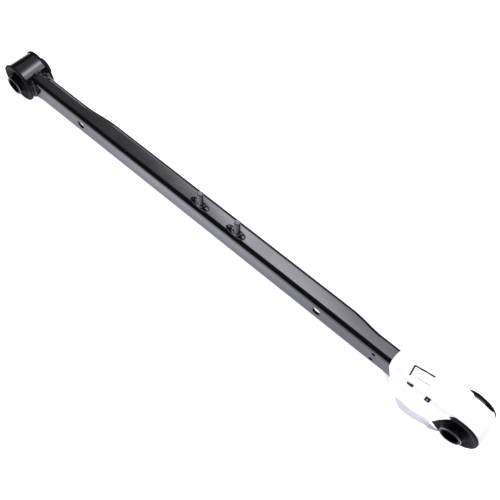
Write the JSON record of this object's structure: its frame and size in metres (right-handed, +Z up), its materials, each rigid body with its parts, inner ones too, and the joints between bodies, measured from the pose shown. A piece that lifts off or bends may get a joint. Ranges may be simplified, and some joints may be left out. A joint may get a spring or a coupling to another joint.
{
  "type": "track control arm",
  "caption": "Long pressed steel channel arm with a bonded rubber bush in a welded eye at each end, bracket studs on the web and a blank paper label at one eye.",
  "frame": {"origin": "centre of the left bush, on its bore axis, half way along the inner sleeve", "axes": "+X along the arm to the right bush, +Y along the bush bores to the side with the plain flared wall, +Z up, to the side with the studs"},
  "size_m": [0.5753, 0.0418, 0.0511],
  "materials": {
    "painted_steel": "gloss black electrodeposited paint on pressed steel",
    "painted_weld": "gloss black paint over weld beads",
    "painted_plate": "gloss black paint on a pressed plate",
    "painted_stud": "black paint worn bright at the tip and on the thread crests",
    "bush_rubber": "moulded natural rubber, satin",
    "bush_steel": "drawn steel tube, phosphated, bright at the cut ends",
    "label_paper": "plain white label stock, matt"
  },
  "bodies": {
    "root": {"channel_arm": "painted_steel", "left_eye_tube": "painted_steel", "left_bush_shell": "bush_steel", "left_bush_rubber": "bush_rubber", "left_inner_sleeve": "bush_steel", "left_web_weld": "painted_weld", "left_near_weld": "painted_weld", "left_far_weld": "painted_weld", "left_stud_plate": "painted_plate", "left_stud": "painted_stud", "right_eye_tube": "painted_steel", "right_bush_shell": "bush_steel", "right_bush_rubber": "bush_rubber", "right_inner_sleeve": "bush_steel", "right_web_weld": "painted_weld", "right_near_weld": "painted_weld", "right_far_weld": "painted_weld", "right_stud_plate": "painted_plate", "right_stud": "painted_stud", "blank_label": "label_paper"}
  },
  "joints": []
}
